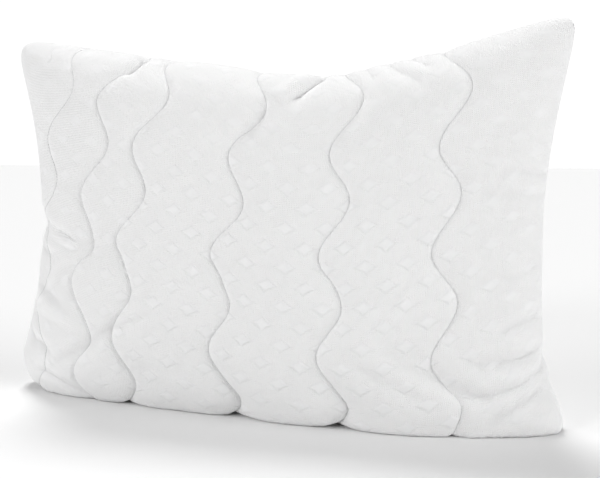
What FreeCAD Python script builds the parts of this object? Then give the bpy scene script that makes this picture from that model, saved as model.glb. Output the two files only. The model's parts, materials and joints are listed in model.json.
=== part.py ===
import FreeCAD, Part
import Sketcher
import math
import os

# Bed pillow, 60 x 40 cm before quilting and 57 x 40 cm after, standing on one long edge.
# Frame: +X along the long side, -Y out of the front face, +Z up; the foot lies on z = 0.
# From outside to inside: jacquard knit cover, quilting wadding, cover lining, inner case, fibre fill.
# The cover opens along a zip sewn into its bottom seam.

doc = FreeCAD.newDocument("bed_pillow")
sheet = doc.addObject("Spreadsheet::Sheet", "sizes")

# alias, value (mm unless the note says otherwise), note
SIZES = [
    ("half_width", 282.0, "middle to a side corner"),
    ("half_height", 204.5, "middle to a top corner"),
    ("half_depth", 75.0, "middle to the front or back crown"),
    ("centre_z", 164.5, "height of the middle above the ground"),
    ("side_pull", 26.0, "how far a side seam pulls in between its corners"),
    ("top_sag", 38.0, "how far the top seam sags between its corners"),
    ("sag_lean", 0.45, "share by which the sag leans to the right"),
    ("bottom_pull", 4.0, "how far the bottom seam pulls in"),
    ("low_weight", 0.15, "share by which the lower half is fuller"),
    ("knit", 0.8, "jacquard knit thickness"),
    ("wadding", 4.2, "quilting wadding thickness"),
    ("lining", 0.3, "cover lining thickness"),
    ("case_gap", 0.3, "air between the cover and the inner case"),
    ("case", 0.3, "inner case thickness"),
    ("flat_width", 570.0, "quilted cover laid flat, side to side"),
    ("flat_height", 400.0, "quilted cover laid flat, bottom to top"),
    ("wave_length", 90.0, "one wave of a quilting row"),
    ("wave_swing", 12.0, "half the width of a quilting wave"),
    ("wave_start", 82.0, "first right-hand crest above the bottom seam"),
    ("thread_radius", 0.35, "half the sewing thread's width"),
    ("thread_gap", 0.4, "sewing thread above the knit"),
    ("slot_half", 5.0, "half the gap in the bottom seam"),
    ("slot_left", 180.0, "gap, middle to its left end"),
    ("slot_right", 175.0, "gap, middle to its right end"),
    ("tape_length", 350.0, "zip tape"),
    ("tape_width", 12.5, "zip tape"),
    ("tape_inner", 1.5, "zip tape edge from the middle"),
    ("tape_thick", 0.6, "zip tape"),
    ("coil_length", 340.0, "zip coil"),
    ("coil_width", 2.8, "zip coil"),
    ("coil_inner", 0.8, "zip coil edge from the middle"),
    ("coil_height", 2.1, "zip coil"),
    ("stop_length", 2.0, "zip end stop"),
    ("stop_height", 2.4, "zip end stop"),
    ("stop_x", 168.0, "zip end stop, middle to its near face"),
    ("slider_x", 160.0, "slider, closed"),
    ("slider_length", 12.0, "slider plate"),
    ("slider_width", 9.0, "slider plate"),
    ("plate_thick", 1.2, "slider plate"),
    ("lower_plate_z", 1.7, "underside of the outer slider plate"),
    ("upper_plate_z", 6.2, "underside of the inner slider plate"),
    ("post_length", 2.6, "slider post between the coils"),
    ("post_width", 0.8, "slider post between the coils"),
    ("flange_thick", 0.6, "slider side wall"),
    ("flange_height", 3.3, "slider side wall, from the underside up"),
    ("bridge_x", 4.0, "puller axis, slider middle to bridge middle"),
    ("bridge_z", 1.0, "puller axis above the ground"),
    ("bridge_half", 1.9, "half the length of the bridge"),
    ("bridge_width", 1.2, "bridge"),
    ("bridge_leg", 0.6, "bridge leg"),
    ("bridge_bar", 0.3, "bridge bar"),
    ("bridge_bottom", 0.2, "underside of the bridge"),
    ("puller_length", 20.0, "puller"),
    ("puller_width", 5.2, "puller"),
    ("puller_thick", 0.7, "puller"),
    ("puller_pin", 0.35, "half the puller's end bar"),
    ("window_length", 2.9, "opening behind the puller's end bar"),
    ("window_width", 1.8, "opening behind the puller's end bar"),
    ("grip_length", 9.0, "opening in the puller's grip"),
    ("grip_width", 2.6, "opening in the puller's grip"),
    ("grip_x", 12.5, "opening in the puller's grip, from the axis"),
    ("label_width", 26.0, "care label, along the seam"),
    ("label_reach", 0.13, "care label, share of the half width that it covers"),
    ("label_thick", 0.5, "one leaf of the care label"),
    ("label_z", 120.0, "care label above the ground"),
    ("label_gap", 1.2, "care label clear of the knit"),
]
for row, (alias, value, note) in enumerate(SIZES, start=1):
    sheet.set("A%d" % row, alias)
    sheet.set("B%d" % row, str(value))
    sheet.set("C%d" % row, note)
    sheet.setAlias("B%d" % row, alias)
doc.recompute()


def size(alias):
    """A number from the sheet."""
    return float(sheet.get(alias))


# Depth of each layer's outer face below the knit's outer face.
KNIT_IN = size("knit")
WADDING_IN = KNIT_IN + size("wadding")
LINING_IN = WADDING_IN + size("lining")
CASE_OUT = LINING_IN + size("case_gap")
CASE_IN = CASE_OUT + size("case")

FRONT = -1.0
BACK = 1.0
MARGIN = 50.0


# ---------------------------------------------------------------- pillow form

def form_point(u, v, side, inset=0.0):
    """A point of the pillow's skin; u and v run from -1 to 1 between the seams."""
    width = size("half_width") - inset - size("side_pull") * (1.0 - v * v)
    drop = size("bottom_pull") + (size("top_sag") - size("bottom_pull")) * (1.0 + v) / 2.0
    lean = 1.0 + size("sag_lean") * u * (1.0 + v) / 2.0
    height = size("half_height") - inset - drop * (1.0 - u * u) * lean
    crown = (1.0 - u ** 4) * (1.0 - v ** 4) * (1.0 - size("low_weight") * v)
    return FreeCAD.Vector(u * width, side * (size("half_depth") - inset) * crown, v * height)


def form_normal(u, v, side):
    """The outward direction of the skin at u, v."""
    step = 1e-4
    along = form_point(u + step, v, side) - form_point(u - step, v, side)
    up = form_point(u, v + step, side) - form_point(u, v - step, side)
    normal = along.cross(up)
    if normal.y * side < 0.0:
        normal = normal * -1.0
    return normal.normalize()


def half_form(side, inset):
    """The solid between the mid plane and one skin, pressed flat at the ground."""
    columns = 29
    rows = 23
    grid = []
    for i in range(columns):
        u = -1.0 + 2.0 * i / (columns - 1)
        grid.append([form_point(u, -1.0 + 2.0 * j / (rows - 1), side, inset) for j in range(rows)])
    skin = Part.BSplineSurface()
    skin.interpolate(grid)
    skin_face = skin.toShape()
    mid_plane = Part.Plane(FreeCAD.Vector(0, 0, 0), FreeCAD.Vector(0, 1, 0))
    mid_face = Part.Face(mid_plane, skin_face.OuterWire)
    shell = Part.makeShell([skin_face, mid_face])
    shell.sewShape()
    solid = Part.makeSolid(shell)
    if solid.Volume < 0.0:
        solid.reverse()
    return solid.cut(ground_block(inset))


def ground_block(inset):
    """Everything lower than inset above the ground."""
    x = size("half_width") + MARGIN
    y = size("half_depth") + MARGIN
    depth = size("half_height")
    corner = FreeCAD.Vector(-x, -y, inset - size("centre_z") - depth)
    return Part.makeBox(2.0 * x, 2.0 * y, depth, corner)


def zip_gap(grow, top):
    """The gap along the bottom seam, up to top above the ground."""
    low = -size("centre_z") - 1.0
    left = -size("slot_left") - grow
    length = size("slot_left") + size("slot_right") + 2.0 * grow
    half = size("slot_half") + grow
    corner = FreeCAD.Vector(left, -half, low)
    return Part.makeBox(length, 2.0 * half, top + 1.0, corner)


def shaped_part(name, shape):
    """A piece whose form is worked out from the sheet, placed at the pillow's middle."""
    part = doc.addObject("Part::Feature", name)
    part.Label = name
    part.Shape = shape
    part.Placement = FreeCAD.Placement()
    part.setExpression("Placement.Base.z", "sizes.centre_z")
    return part


pieces = []
SIDES = [("front", FRONT), ("back", BACK)]

# The inner pillow makes room for the zip: its underside is raised over the tapes and slider.
CASE_GROW = size("tape_inner") + size("tape_width") + 2.0 - size("slot_half")
CASE_ROOM_Z = size("upper_plate_z") + size("plate_thick") + 0.6

for side_name, side in SIDES:
    knit_out = half_form(side, 0.0)
    knit_in = half_form(side, KNIT_IN)
    wadding_in = half_form(side, WADDING_IN)
    lining_in = half_form(side, LINING_IN)
    cover_gap = zip_gap(0.0, LINING_IN + 0.1)
    case_gap = zip_gap(CASE_GROW, CASE_ROOM_Z)
    core_gap = zip_gap(CASE_GROW + size("case"), CASE_ROOM_Z + size("case"))
    case_out = half_form(side, CASE_OUT).cut(case_gap)
    case_in = half_form(side, CASE_IN).cut(core_gap)
    pieces.append(shaped_part("cover_knit_" + side_name, knit_out.cut(knit_in).cut(cover_gap)))
    pieces.append(shaped_part("cover_wadding_" + side_name, knit_in.cut(wadding_in).cut(cover_gap)))
    pieces.append(shaped_part("cover_lining_" + side_name, wadding_in.cut(lining_in).cut(cover_gap)))
    pieces.append(shaped_part("inner_case_" + side_name, case_out.cut(case_in)))

core_halves = []
for side_name, side in SIDES:
    core_gap = zip_gap(CASE_GROW + size("case"), CASE_ROOM_Z + size("case"))
    core_halves.append(half_form(side, CASE_IN).cut(core_gap))
pieces.append(shaped_part("fibre_fill", core_halves[0].fuse(core_halves[1])))


# ------------------------------------------------------- sewing on the outside

def thread_along(points, outward):
    """A thread of square section through the points; outward is its upper side at each point."""
    half = size("thread_radius")
    verts = []
    for i, point in enumerate(points):
        heading = points[min(i + 1, len(points) - 1)] - points[max(i - 1, 0)]
        up = outward[i]
        across = heading.cross(up).normalize()
        for a, b in ((-1, -1), (1, -1), (1, 1), (-1, 1)):
            verts.append(point + across * (a * half) + up * (b * half))
    facets = [(0, 1, 2), (0, 2, 3)]
    for i in range(len(points) - 1):
        for k in range(4):
            a = 4 * i + k
            b = 4 * i + (k + 1) % 4
            facets += [(a, a + 4, b + 4), (a, b + 4, b)]
    last = 4 * (len(points) - 1)
    facets += [(last, last + 2, last + 1), (last, last + 3, last + 2)]
    skin = Part.Shape()
    skin.makeShapeFromMesh((verts, facets), 0.001)
    solid = Part.makeSolid(Part.Shell(skin.Faces))
    if solid.Volume < 0.0:
        solid.reverse()
    return solid


def quilt_thread(row_x, phase, side):
    """One waved quilting row, row_x from the left edge of the flat cover."""
    half_flat = size("flat_width") / 2.0
    half_up = size("flat_height") / 2.0
    lift = size("thread_radius") + size("thread_gap")
    first = -0.80
    last = 0.97
    count = 41
    points = []
    outward = []
    for i in range(count):
        v = first + (last - first) * i / (count - 1)
        height = (v + 1.0) * half_up - size("wave_start")
        swing = size("wave_swing") * math.cos(2.0 * math.pi * height / size("wave_length") + phase)
        u = (row_x + swing) / half_flat - 1.0
        outward.append(form_normal(u, v, side))
        points.append(form_point(u, v, side) + outward[-1] * lift)
    return thread_along(points, outward)


# Quilting rows from the left edge. Row b is the odd one: it waves against its neighbours.
QUILT_ROWS = [("a", 46.0, 0.0), ("b", 99.3, math.pi), ("c", 152.5, 0.0),
              ("d", 259.0, 0.0), ("e", 365.5, 0.0), ("f", 472.0, 0.0)]
for side_name, side in SIDES:
    for row_name, row_x, phase in QUILT_ROWS:
        thread = quilt_thread(row_x, phase, side)
        pieces.append(shaped_part("quilt_thread_%s_%s" % (side_name, row_name), thread))


def seam_thread(edge):
    """The sewing just outside the top, left or right seam, in the mid plane."""
    lift = size("thread_radius") + size("thread_gap")
    reach = 0.97
    low = -0.78
    count = 25
    points = []
    outward = []
    for i in range(count):
        share = i / (count - 1.0)
        if edge == "top":
            out = FreeCAD.Vector(0, 0, 1)
            point = form_point(-reach + 2.0 * reach * share, 1.0, FRONT)
        else:
            sign = 1.0 if edge == "right" else -1.0
            out = FreeCAD.Vector(sign, 0, 0)
            point = form_point(sign, low + (reach - low) * share, FRONT)
        points.append(point + out * lift)
        outward.append(out)
    return thread_along(points, outward)


for edge in ("top", "left", "right"):
    pieces.append(shaped_part("seam_thread_" + edge, seam_thread(edge)))


# ------------------------------------------------------------ bodies with sketches

def new_body(name, x="0", y="0", z="0"):
    """A body with its own place in the pillow."""
    body = doc.addObject("PartDesign::Body", name)
    body.Label = name
    body.setExpression("Placement.Base.x", x)
    body.setExpression("Placement.Base.y", y)
    body.setExpression("Placement.Base.z", z)
    return body


def plane_of(body, role):
    """One of the body's own base planes."""
    return [item for item in body.Origin.OriginFeatures if item.Role == role][0]


def centred_sketch(body, name, width, height, x="0", y="0", z="0"):
    """A rectangle centred on x, y on the body's ground plane, raised by z."""
    sketch = body.newObject("Sketcher::SketchObject", name)
    sketch.AttachmentSupport = [(plane_of(body, "XY_Plane"), "")]
    sketch.MapMode = "FlatFace"
    corners = [FreeCAD.Vector(-1, -1, 0), FreeCAD.Vector(1, -1, 0),
               FreeCAD.Vector(1, 1, 0), FreeCAD.Vector(-1, 1, 0)]
    for i in range(4):
        sketch.addGeometry(Part.LineSegment(corners[i], corners[(i + 1) % 4]))
    for i in range(4):
        sketch.addConstraint(Sketcher.Constraint("Coincident", i, 2, (i + 1) % 4, 1))
    sketch.addConstraint(Sketcher.Constraint("Horizontal", 0))
    sketch.addConstraint(Sketcher.Constraint("Horizontal", 2))
    sketch.addConstraint(Sketcher.Constraint("Vertical", 1))
    sketch.addConstraint(Sketcher.Constraint("Vertical", 3))
    sketch.addConstraint(Sketcher.Constraint("Symmetric", 0, 1, 2, 1, -1, 1))
    wide = sketch.addConstraint(Sketcher.Constraint("DistanceX", 0, 1, 0, 2, 2.0))
    tall = sketch.addConstraint(Sketcher.Constraint("DistanceY", 1, 1, 1, 2, 2.0))
    sketch.setExpression("Constraints[%d]" % wide, width)
    sketch.setExpression("Constraints[%d]" % tall, height)
    sketch.setExpression("AttachmentOffset.Base.x", x)
    sketch.setExpression("AttachmentOffset.Base.y", y)
    sketch.setExpression("AttachmentOffset.Base.z", z)
    return sketch


def pad(body, name, width, height, length, x="0", y="0", z="0"):
    """A block grown upwards from a centred rectangle."""
    sketch = centred_sketch(body, name + "_outline", width, height, x, y, z)
    feature = body.newObject("PartDesign::Pad", name)
    feature.Profile = sketch
    feature.setExpression("Length", length)
    body.Tip = feature
    doc.recompute()
    return feature


def pocket(body, name, width, height, x="0", y="0", z="0"):
    """A window cut right through from a centred rectangle."""
    before = body.Shape.Volume
    sketch = centred_sketch(body, name + "_outline", width, height, x, y, z)
    feature = body.newObject("PartDesign::Pocket", name)
    feature.Profile = sketch
    feature.Type = "ThroughAll"
    feature.Midplane = True
    body.Tip = feature
    doc.recompute()
    if body.Shape.Volume >= before:
        raise RuntimeError(name + " removed nothing")
    return feature


def rounded(body, name, radius, chosen):
    """Rounds the chosen edges of the body's last feature."""
    base = body.Tip
    names = ["Edge%d" % (i + 1) for i, edge in enumerate(base.Shape.Edges) if chosen(edge)]
    feature = body.newObject("PartDesign::Fillet", name)
    feature.Base = (base, names)
    feature.Radius = radius
    body.Tip = feature
    doc.recompute()
    return feature


def is_upright(edge):
    """True for a straight edge along Z."""
    box = edge.BoundBox
    return box.ZLength > 0.1 and box.XLength < 1e-6 and box.YLength < 1e-6


# Height of the zip tapes: they are sewn to the inside of the cover's lining.
TAPE_Z = "sizes.knit + sizes.wadding + sizes.lining"

for side_name, side in SIDES:
    sign = "-1 * " if side < 0.0 else ""

    tape_y = sign + "(sizes.tape_inner + sizes.tape_width / 2)"
    tape = new_body("zip_tape_" + side_name, "0", tape_y, TAPE_Z)
    pad(tape, "tape_web_" + side_name, "sizes.tape_length", "sizes.tape_width", "sizes.tape_thick")
    pieces.append(tape)

    coil_y = sign + "(sizes.coil_inner + sizes.coil_width / 2)"
    coil = new_body("zip_coil_" + side_name, "0", coil_y, TAPE_Z + " - sizes.coil_height")
    pad(coil, "coil_row_" + side_name, "sizes.coil_length - 8", "sizes.coil_width", "sizes.coil_height")
    rounded(coil, "coil_edges_" + side_name, 0.6,
            lambda edge: edge.BoundBox.XLength > 300.0 and edge.BoundBox.ZMin < 0.1)
    pieces.append(coil)

    stop = new_body("zip_top_stop_" + side_name, "sizes.stop_x + sizes.stop_length / 2", coil_y,
                    TAPE_Z + " - sizes.stop_height")
    pad(stop, "stop_clip_" + side_name, "sizes.stop_length", "sizes.coil_width", "sizes.stop_height")
    rounded(stop, "stop_corners_" + side_name, 0.4, is_upright)
    pieces.append(stop)

bottom_stop = new_body("zip_bottom_stop", "-sizes.stop_x - sizes.stop_length / 2", "0",
                       TAPE_Z + " - sizes.stop_height")
pad(bottom_stop, "stop_box", "sizes.stop_length", "2 * (sizes.coil_inner + sizes.coil_width)",
    "sizes.stop_height")
rounded(bottom_stop, "stop_box_corners", 0.4, is_upright)
pieces.append(bottom_stop)

# Slider: two plates joined by a post, side walls round the coils, a bridge for the puller.
slider = new_body("zip_slider", "sizes.slider_x", "0", "0")
pad(slider, "slider_post", "sizes.post_length", "sizes.post_width",
    "sizes.upper_plate_z - sizes.lower_plate_z", "sizes.slider_length / 2 - sizes.post_length / 2 - 1",
    "0", "sizes.lower_plate_z + sizes.plate_thick / 2")
pad(slider, "slider_lower_plate", "sizes.slider_length", "sizes.slider_width", "sizes.plate_thick",
    "0", "0", "sizes.lower_plate_z")
pad(slider, "slider_upper_plate", "sizes.slider_length", "sizes.slider_width", "sizes.plate_thick",
    "0", "0", "sizes.upper_plate_z")
rounded(slider, "slider_corners", 1.8,
        lambda edge: is_upright(edge) and abs(edge.BoundBox.YMin) > size("slider_width") / 2.0 - 0.1)
FLANGE_Y = "(sizes.slider_width / 2 - sizes.flange_thick / 2)"
for wall_name, wall_y in (("front", "-1 * " + FLANGE_Y), ("back", FLANGE_Y)):
    pad(slider, "slider_wall_" + wall_name, "sizes.slider_length - 4", "sizes.flange_thick",
        "sizes.flange_height", "0", wall_y, "sizes.lower_plate_z")
BRIDGE_HEIGHT = "sizes.lower_plate_z - sizes.bridge_bottom + 0.3"
for leg_name, leg_sign in (("left", "-"), ("right", "+")):
    leg_x = "sizes.bridge_x %s (sizes.bridge_half - sizes.bridge_leg / 2)" % leg_sign
    pad(slider, "bridge_leg_" + leg_name, "sizes.bridge_leg", "sizes.bridge_width", BRIDGE_HEIGHT,
        leg_x, "0", "sizes.bridge_bottom")
pad(slider, "bridge_bar", "2 * sizes.bridge_half", "sizes.bridge_width", "sizes.bridge_bar",
    "sizes.bridge_x", "0", "sizes.bridge_bottom")
pieces.append(slider)

# Puller: a flat tab whose end bar lies in the slider's bridge. Its origin is the hinge axis.
puller = new_body("zip_puller", "sizes.slider_x + sizes.bridge_x", "0",
                  "sizes.bridge_z - sizes.puller_thick / 2")
pad(puller, "puller_tab", "sizes.puller_length + sizes.puller_pin", "sizes.puller_width",
    "sizes.puller_thick", "(sizes.puller_pin - sizes.puller_length) / 2")
rounded(puller, "puller_corners", 1.6,
        lambda edge: is_upright(edge) and edge.BoundBox.XMin < -size("puller_length") + 1.0)
pocket(puller, "puller_window", "sizes.window_length", "sizes.window_width",
       "-sizes.puller_pin - sizes.window_length / 2")
pocket(puller, "puller_grip", "sizes.grip_length", "sizes.grip_width", "-sizes.grip_x")
pieces.append(puller)

# Care label: one strip folded double, caught in the left seam and lying against the back.
LABEL_STEPS = 9


def label_leaf():
    """The folded label: a strip that follows the back from the left seam, raised along Z."""
    low = size("label_z") - size("centre_z")
    middle_v = (low + size("label_width") / 2.0) / size("half_height")
    inner = []
    outer = []
    for i in range(LABEL_STEPS + 1):
        u = -1.0 + size("label_reach") * i / LABEL_STEPS
        point = form_point(u, middle_v, BACK)
        normal = form_normal(u, middle_v, BACK)
        for row, lift in ((inner, size("label_gap")), (outer, size("label_gap") + 2.0 * size("label_thick"))):
            row.append(FreeCAD.Vector(point.x + normal.x * lift, point.y + normal.y * lift, low))
    loop = inner + outer[::-1] + inner[:1]
    return Part.Face(Part.makePolygon(loop)).extrude(FreeCAD.Vector(0, 0, size("label_width")))


pieces.append(shaped_part("care_label", label_leaf()))

doc.recompute()

# ------------------------------------------------------------------ checks, files

for item in doc.Objects:
    for state in ("Invalid", "Error"):
        if state in item.State:
            raise RuntimeError("%s is %s" % (item.Label, state))

os.makedirs("parts", exist_ok=True)
for piece in pieces:
    shape = piece.Shape
    if shape.isNull() or not shape.isValid() or shape.Volume <= 0.0:
        raise RuntimeError(piece.Label + " has no sound solid")
    if len(shape.Solids) != 1:
        raise RuntimeError("%s has %d solids" % (piece.Label, len(shape.Solids)))
    shape.exportStep(os.path.join("parts", piece.Label + ".step"))
    box = shape.BoundBox
    print("%-24s %10.1f mm3  x %7.1f %7.1f  y %6.1f %6.1f  z %6.1f %6.1f"
          % (piece.Label, shape.Volume, box.XMin, box.XMax, box.YMin, box.YMax, box.ZMin, box.ZMax))
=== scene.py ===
import json
import math
from collections import namedtuple

import bpy
import numpy as np
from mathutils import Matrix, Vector

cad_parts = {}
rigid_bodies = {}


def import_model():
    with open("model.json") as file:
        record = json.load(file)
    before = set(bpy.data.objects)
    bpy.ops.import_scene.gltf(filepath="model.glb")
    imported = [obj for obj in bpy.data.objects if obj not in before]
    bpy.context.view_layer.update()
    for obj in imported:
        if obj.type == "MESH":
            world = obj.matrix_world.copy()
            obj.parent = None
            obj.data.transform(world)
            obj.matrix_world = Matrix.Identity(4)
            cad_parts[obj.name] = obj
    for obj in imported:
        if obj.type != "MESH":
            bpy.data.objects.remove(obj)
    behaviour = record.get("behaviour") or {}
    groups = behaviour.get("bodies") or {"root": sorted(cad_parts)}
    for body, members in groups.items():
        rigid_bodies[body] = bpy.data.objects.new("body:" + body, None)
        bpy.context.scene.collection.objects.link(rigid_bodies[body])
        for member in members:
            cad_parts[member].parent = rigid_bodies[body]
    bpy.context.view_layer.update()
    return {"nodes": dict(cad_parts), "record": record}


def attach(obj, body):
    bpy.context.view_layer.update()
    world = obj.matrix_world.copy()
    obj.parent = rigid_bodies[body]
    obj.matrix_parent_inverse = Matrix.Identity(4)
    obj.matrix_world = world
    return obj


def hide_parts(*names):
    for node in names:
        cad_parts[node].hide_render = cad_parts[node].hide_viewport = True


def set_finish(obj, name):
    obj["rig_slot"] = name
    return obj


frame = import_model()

# A white bed pillow in a wave-quilted jacquard cover, standing on its long edge.
# Lengths are in metres. "Flat" coordinates are those of the cover laid flat after quilting:
# s runs from the left seam to the right one, t from the bottom seam to the top one.

PILLOW = "pillow"
FRONT, BACK = -1.0, 1.0
SIDES = (("front", FRONT), ("back", BACK))

FLAT_W, FLAT_H = 0.570, 0.400
# Quilting rows: where each stands at mid-height, measured from the left seam, how much further right
# it stands at the top and at the bottom, the way its wave swings, how far its wave is shifted up,
# and how deep it draws the cloth in.
Row = namedtuple("Row", "name at lean_top lean_bottom swing shift depth")
ROWS = (Row("a", 0.0340, 0.067, 0.030, 1.0, -0.006, 0.30),
        Row("b", 0.0960, 0.055, 0.030, -1.0, -0.009, 0.85),
        Row("c", 0.1490, 0.050, 0.019, 1.0, -0.004, 1.0),
        Row("d", 0.2535, 0.037, 0.026, 1.0, 0.000, 1.0),
        Row("e", 0.3605, 0.012, 0.015, 1.0, 0.008, 1.0),
        Row("f", 0.4635, 0.003, 0.003, 1.0, 0.000, 1.0))
# The wave that the rows share: its length, its swing to either side, and the height of a crest.
WAVE_LENGTH, WAVE_SWING, WAVE_CREST = 0.0893, 0.0120, 0.0757
# The height from which the rows lean, and how the lean grows above and below it.
LEAN_FROM, LEAN_ABOVE, LEAN_BELOW = 0.180, 1.15, 1.3

# Simulation grid: cells between neighbouring rows of quilting, and from bottom to top. The surface
# that is seen has FINE times as many each way, with its columns crowded towards the rows.
CELLS = (8, 9, 9, 18, 18, 18, 16)
CELLS_UP = 64
FINE, CROWD = 4, 0.35


# ---------------------------------------- grid in flat coordinates

def smooth(x, low, high):
    """0 below low, 1 above high, with soft ends."""
    x = np.clip((x - low) / (high - low), 0.0, 1.0)
    return x * x * (3.0 - 2.0 * x)


def columns(fine=1, crowd=0.0):
    """Positions of the grid's columns at mid-height, crowded towards the quilting rows."""
    stops = [0.0] + [row.at for row in ROWS] + [FLAT_W]
    out = [0.0]
    for k, cells in enumerate(CELLS):
        n = cells * fine
        x = np.arange(1, n + 1) / n
        x = x - crowd * np.sin(2.0 * np.pi * x) / (2.0 * np.pi)
        out.extend(stops[k] + (stops[k + 1] - stops[k]) * x)
    return np.array(out)


def row_column(index, fine=1):
    """Which column of the grid a quilting row runs along."""
    return sum(CELLS[:index + 1]) * fine


def follow(s0, field):
    """A value that each row has, carried smoothly to the columns between them."""
    stops = [0.0] + [row.at for row in ROWS] + [FLAT_W]
    return np.interp(s0, stops, [0.0] + [getattr(row, field) for row in ROWS] + [0.0])


def flat_grid(s0, t0):
    """Flat coordinates of a grid whose columns run along the quilting rows."""
    crest = WAVE_CREST + follow(s0, "shift")[:, None]
    wave = WAVE_SWING * np.cos(2.0 * np.pi * (t0[None, :] - crest) / WAVE_LENGTH)
    above = np.clip((t0 - LEAN_FROM) / (FLAT_H - LEAN_FROM), 0.0, 1.0) ** LEAN_ABOVE
    below = np.clip((LEAN_FROM - t0) / LEAN_FROM, 0.0, 1.0) ** LEAN_BELOW
    s = s0[:, None] + np.outer(follow(s0, "lean_top"), above)
    s = s + np.outer(follow(s0, "lean_bottom"), below)
    s = s + follow(s0, "swing")[:, None] * wave
    t = np.repeat(t0[None, :], len(s0), axis=0)
    return s, t


# ---------------------------------------- seam line and first form

# How far the foot starts below the ground, half the form's depth, and how far the top seam comes
# forward in its middle.
FOOT_SINK, FORM_DEPTH, TOP_SEAM_SHIFT = 0.030, 0.066, 0.007
# The cloth at rest, as a share of its flat size along the pillow and up it.
GIVE_S, GIVE_T = 0.99, 1.07

# The seams as seen from the front. u and v run from -1 to 1, from left to right and from bottom to
# top, and the numbers in each formula are metres and shares of that range.


def seam_left(v):
    """Hollow between its corners, with a shallow notch below its middle."""
    flare = np.where(v > 0, 0.0335, 0.0430) * np.abs(v) ** 2.2
    notch = 0.006 * np.exp(-((v + 0.07) / 0.06) ** 2)
    return -0.2450 - flare + notch + 0.007 * np.abs(v) ** 24


def seam_right(v):
    """Hollow between its corners, with two small tucks low down."""
    flare = np.where(v > 0, 0.0305 * np.abs(v) ** 1.7, 0.0330 * np.abs(v) ** 4.5)
    tuck = 0.003 * np.exp(-((v + 0.66) / 0.05) ** 2) + 0.002 * np.exp(-((v + 0.80) / 0.05) ** 2)
    return 0.2565 + flare - tuck - 0.007 * np.abs(v) ** 24


def seam_top(u):
    """Sags between its corners, deepest right of the middle."""
    sag = 0.040 * (1.0 - u * u) * (1.0 + 0.42 * u) + 0.009 * np.exp(-((u - 0.17) / 0.27) ** 2)
    lift = 0.002 * np.exp(-((u - 0.78) / 0.15) ** 2)
    return 0.370 + 0.003 * u - sag + lift - 0.007 * np.abs(u) ** 40


def seam_bottom(u):
    """Close to the ground, and lifted at the left corner."""
    return 0.004 + 0.015 * np.clip(-u, 0, 1) ** 8


def form_point(u, v, side):
    """The pillow before it is filled; the weight spreads its foot flat on the ground."""
    x = 0.5 * (1.0 - u) * seam_left(v) + 0.5 * (1.0 + u) * seam_right(v)
    low = seam_bottom(u)
    foot = low - FOOT_SINK * (1.0 - u ** 6)
    z = 0.5 * (1.0 - v) * foot + 0.5 * (1.0 + v) * seam_top(u)
    heavy = smooth(u, -0.5, 0.5) * (1.0 if side == FRONT else 0.4)
    low_power = 4.0 + 5.0 * heavy
    tall = 1.0 - np.abs(v) ** np.where(v < 0, low_power, 4.0)
    crown = np.sqrt(np.clip(1.0 - u ** 4, 0, 1) * np.clip(tall, 0, 1))
    y = side * FORM_DEPTH * crown * (1.0 - (0.12 + 0.06 * heavy) * v)
    y = y - TOP_SEAM_SHIFT * (1.0 - u * u) * smooth(v, 0.3, 1.0)
    y = y - 0.010 * smooth(u, 0.80, 1.0) * smooth(-v, 0.6, 1.0)
    ground = np.where(v < -0.999, low, np.minimum(low, 0.0015))
    return np.stack([x, y, np.maximum(z, ground)], axis=-1)


def first_form(s, t, side):
    """Spreads the flat panel evenly over the form, so that the cloth starts with little strain."""
    last = 160
    line = np.sin(np.linspace(-0.5, 0.5, last + 1) * math.pi)
    grid = form_point(*np.meshgrid(line, line, indexing="ij"), side)
    share = []
    for axis in (0, 1):
        steps = np.linalg.norm(np.diff(grid, axis=axis), axis=-1)
        along = np.cumsum(steps, axis=axis)
        along = np.concatenate([np.zeros_like(np.take(along, [0], axis)), along], axis=axis)
        share.append(along / np.take(along, [-1], axis))
    want = (s / FLAT_W, t / FLAT_H)
    i, j = want[0] * last, want[1] * last
    for _ in range(60):
        i = np.clip(i + 0.8 * last * (want[0] - between(share[0], i, j)), 0.0, last)
        j = np.clip(j + 0.8 * last * (want[1] - between(share[1], i, j)), 0.0, last)
    return np.stack([between(grid[..., k], i, j) for k in range(3)], axis=-1)


def between(table, i, j):
    """Values of a table between its nodes."""
    a = np.clip(i.astype(int), 0, table.shape[0] - 2)
    b = np.clip(j.astype(int), 0, table.shape[1] - 2)
    f, g = i - a, j - b
    low = table[a, b] * (1 - f) + table[a + 1, b] * f
    high = table[a, b + 1] * (1 - f) + table[a + 1, b + 1] * f
    return low * (1 - g) + high * g


# ---------------------------------------- cloth simulation

def closed_faces(nx, nz):
    """Faces of two grids that share their rim, and each grid's vertex numbers."""
    front = np.arange(nx * nz).reshape(nx, nz)
    back = np.full((nx, nz), -1)
    rim = np.zeros((nx, nz), bool)
    rim[0, :] = rim[-1, :] = rim[:, 0] = rim[:, -1] = True
    back[rim] = front[rim]
    back[~rim] = nx * nz + np.arange((~rim).sum())
    faces = []
    for grid, flip in ((front, False), (back, True)):
        quads = np.stack([grid[:-1, :-1], grid[1:, :-1], grid[1:, 1:], grid[:-1, 1:]], axis=-1)
        quads = quads.reshape(-1, 4)
        faces.append(quads[:, ::-1] if flip else quads)
    return front, back, rim, np.concatenate(faces)


def new_mesh(name, verts, faces):
    """A smooth-shaded object from vertices and faces."""
    mesh = bpy.data.meshes.new(name)
    mesh.from_pydata([tuple(p) for p in verts], [], [tuple(int(i) for i in f) for f in faces])
    mesh.update()
    mesh.polygons.foreach_set("use_smooth", [True] * len(mesh.polygons))
    obj = bpy.data.objects.new(name, mesh)
    bpy.context.scene.collection.objects.link(obj)
    return obj


def ground_plate(name, reach):
    """A flat square at ground height, reach metres to each side."""
    corners = [(-reach, -reach, 0), (reach, -reach, 0), (reach, reach, 0), (-reach, reach, 0)]
    return new_mesh(name, corners, [(0, 1, 2, 3)])


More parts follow.
